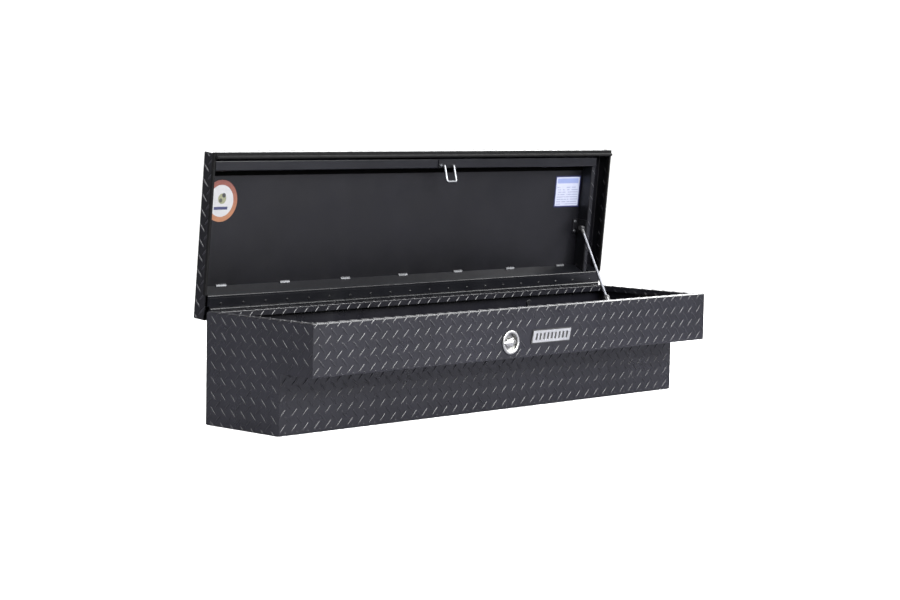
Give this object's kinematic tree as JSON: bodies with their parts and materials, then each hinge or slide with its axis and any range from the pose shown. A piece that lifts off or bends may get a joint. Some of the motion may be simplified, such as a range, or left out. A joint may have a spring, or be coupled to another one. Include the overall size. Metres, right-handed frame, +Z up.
{
  "type": "truck tool box",
  "caption": "Long L-shaped tread-plate truck box: shallow lip over a deep bin, hinged pan lid on a gas strut, folding-handle lock that draws a hook over a striker loop.",
  "frame": {"origin": "centre of the bin's bottom face", "axes": "+X along the box, +Y from the lip to the hinge side, +Z up"},
  "size_m": [1.832, 0.539, 0.8219],
  "materials": {
    "tread_black": "black powder coat over tread plate, semi-matte",
    "channel_black": "black powder coat, satin",
    "weld_bead": "bare bead, dull silver",
    "black_steel": "black, satin",
    "zinc": "zinc plated",
    "stainless": "stainless, polished",
    "chrome": "bright",
    "rubber": "matte",
    "strut_black": "gloss black",
    "black_plastic": "matte",
    "brass": "satin",
    "plate_bright": "brushed, clear coated",
    "label_orange": "printed film",
    "label_white": "printed film"
  },
  "bodies": {
    "box": {"body_wrap": "tread_black", "left_end_plate": "tread_black", "right_end_plate": "tread_black", "left_corner_weld": "black_steel", "right_corner_weld": "black_steel", "box_hinge_leaf": "zinc", "hinge_pin": "zinc", "box_hinge_rivets": "zinc", "lock_dish": "stainless", "lock_gasket": "rubber", "lock_ring_nut": "zinc", "latch_bracket": "black_steel", "latch_bracket_welds": "black_steel", "hook_pivot_bolt": "zinc", "hook_pivot_nut": "zinc", "nameplate": "plate_bright", "nameplate_backing": "black_plastic", "nameplate_push_nuts": "zinc", "lower_strut_bracket": "black_steel", "lower_bracket_rivets": "zinc", "lower_ball_stud": "zinc", "lower_stud_nut": "zinc"},
    "lid": {"lid_pan": "tread_black", "front_channel": "channel_black", "front_channel_sealant": "rubber", "hinge_channel": "channel_black", "strut_channel": "tread_black", "channel_stitch_welds": "weld_bead", "weather_seal": "rubber", "lid_hinge_leaf": "zinc", "lid_hinge_rivets": "zinc", "striker_loop": "zinc", "striker_plate": "black_steel", "striker_nuts": "zinc", "striker_screw": "zinc", "upper_strut_bracket": "black_steel", "upper_bracket_bolts": "zinc", "round_label": "label_orange", "square_label": "label_white"},
    "strut_tube": {"cylinder_socket": "black_plastic", "strut_cylinder": "strut_black", "strut_gland": "black_plastic"},
    "strut_plunger": {"strut_rod": "chrome", "strut_piston": "black_plastic", "rod_socket": "black_plastic", "upper_ball_stud": "zinc"},
    "lock_core": {"lock_spindle": "stainless", "handle_hinge_pin": "stainless", "cam_lever": "zinc", "cam_lever_screw": "zinc"},
    "handle": {"folding_handle": "stainless"},
    "key_cylinder": {"key_plug": "chrome"},
    "latch_link": {"link_rod": "zinc", "link_rod_clips": "zinc"},
    "hook": {"latch_hook": "zinc"}
  },
  "joints": [
    {"name": "lid_hinge", "type": "hinge", "parent": "box", "child": "lid", "pos_m": [0, 0.1635, 0.347], "axis": [1, 0, 0], "range_deg": [0, 84.8], "stiffness_Nm_per_rad": 15, "springref_deg": -34.38},
    {"name": "strut_pivot", "type": "hinge", "parent": "box", "child": "strut_tube", "pos_m": [0.809, -0.0875, 0.0476], "axis": [1, 0, 0], "range_deg": [0, 17.77]},
    {"name": "strut_slide", "type": "slide", "parent": "strut_tube", "child": "strut_plunger", "axis": [0, 0.4553, 0.8903], "range_m": [-0.23475, 0]},
    {"name": "handle_turn", "type": "hinge", "parent": "box", "child": "lock_core", "pos_m": [-0.07, -0.3055, 0.2356], "axis": [0, -1, 0], "range_deg": [0, 90]},
    {"name": "handle_fold", "type": "hinge", "parent": "lock_core", "child": "handle", "pos_m": [-0.064, -0.3035, 0.2356], "axis": [0, 0, 1], "range_deg": [0, 70]},
    {"name": "key_turn", "type": "hinge", "parent": "lock_core", "child": "key_cylinder", "pos_m": [-0.05, -0.3055, 0.2356], "axis": [0, 1, 0], "range_deg": [0, 90]},
    {"name": "link_pivot", "type": "hinge", "parent": "lock_core", "child": "latch_link", "pos_m": [-0.06364, -0.2385, 0.24196], "axis": [0, -1, 0], "range_deg": [-90, 0]},
    {"name": "hook_pivot", "type": "hinge", "parent": "box", "child": "hook", "pos_m": [0.088, -0.2375, 0.291], "axis": [0, 1, 0], "range_deg": [0, 15.34]}
  ],
  "couplings": [
    {"joint": "strut_pivot", "follows": "lid_hinge", "ratio": 0.20897},
    {"joint": "strut_slide", "follows": "lid_hinge", "m_per_rad": -0.15827},
    {"joint": "link_pivot", "follows": "handle_turn", "ratio": -1},
    {"joint": "hook_pivot", "follows": "handle_turn", "ratio": 0.17031}
  ]
}
